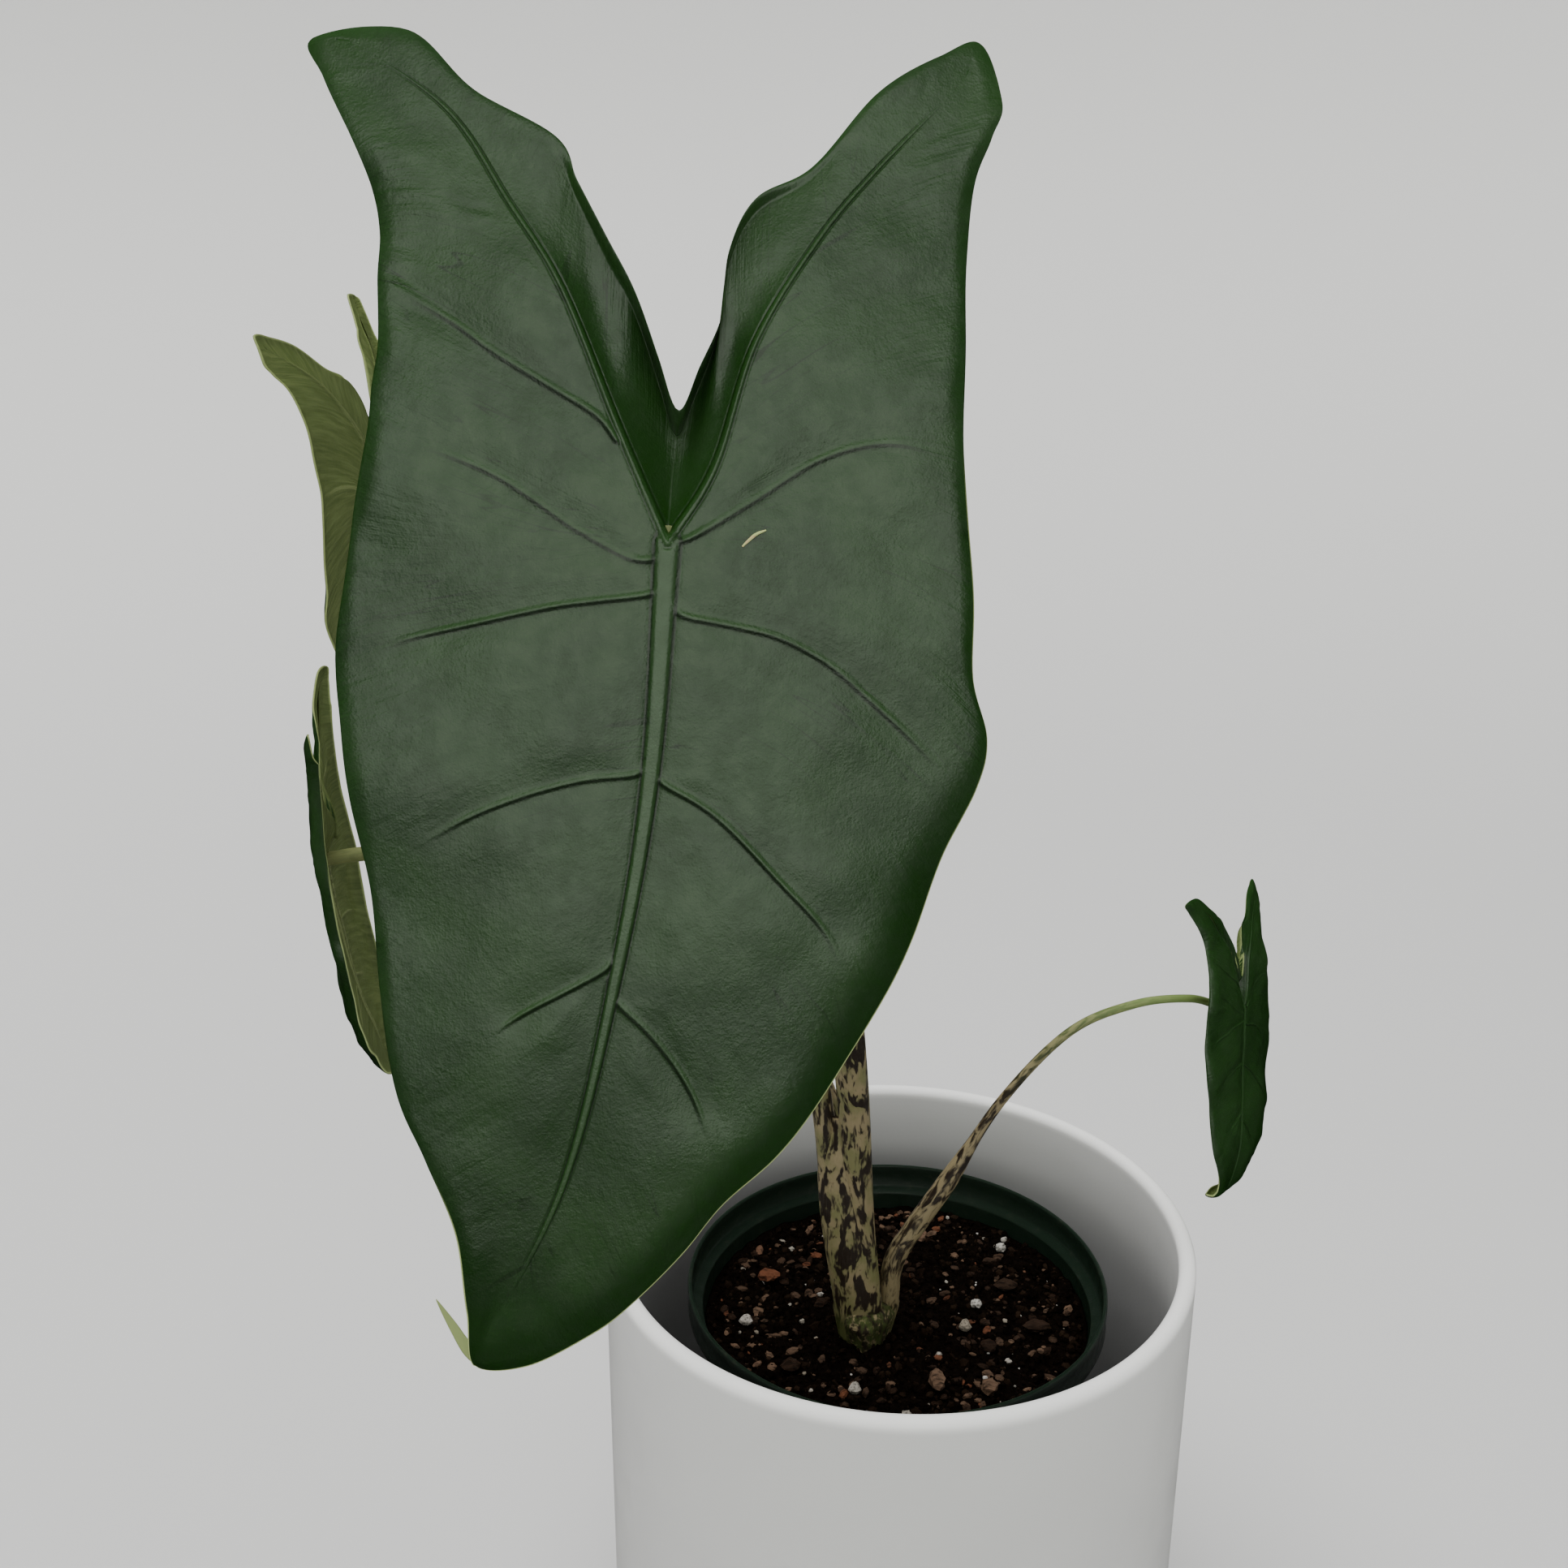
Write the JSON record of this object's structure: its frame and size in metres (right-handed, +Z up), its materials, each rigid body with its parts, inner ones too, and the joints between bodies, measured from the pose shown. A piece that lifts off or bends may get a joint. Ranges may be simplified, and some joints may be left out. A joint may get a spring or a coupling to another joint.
{
  "type": "potted alocasia",
  "caption": "Potted arrow-leaf plant: broad leaves on mottled upright stalks, rooted in a thin nursery pot that stands inside a plain straight-sided ceramic cachepot.",
  "frame": {"origin": "centre of the cachepot's flat foot, on the surface it stands on", "axes": "+Z up along the pot's axis; the tallest leaf faces -Y; the small leaf is on the +X side"},
  "size_m": [0.342, 0.3472, 0.5472],
  "materials": {
    "glazed_white": "satin white glaze",
    "green_plastic": "thin semi-matt plastic",
    "potting_soil": "damp peaty crumb",
    "corm_skin": "fibrous, partly mossy",
    "mottled_stalk": "satin, banded dark brown",
    "leaf_blade": "waxy, semi-gloss",
    "bark": "rough, dry",
    "pumice": "rough, dry"
  },
  "bodies": {
    "root": {"bark_chip_1": "bark", "bark_chip_2": "bark", "bark_chip_3": "bark", "bark_chip_4": "bark", "bark_chip_5": "bark", "bark_chip_6": "bark", "bark_chip_7": "bark", "bark_chip_8": "bark", "cachepot": "glazed_white", "corm": "corm_skin", "front_blade": "leaf_blade", "front_petiole": "mottled_stalk", "lower_left_blade": "leaf_blade", "lower_left_petiole": "mottled_stalk", "nursery_pot": "green_plastic", "pumice_grain_1": "pumice", "pumice_grain_2": "pumice", "pumice_grain_3": "pumice", "pumice_grain_4": "pumice", "pumice_grain_5": "pumice", "pumice_grain_6": "pumice", "right_blade": "leaf_blade", "right_petiole": "mottled_stalk", "soil": "potting_soil", "upper_left_blade": "leaf_blade", "upper_left_petiole": "mottled_stalk"}
  },
  "joints": []
}
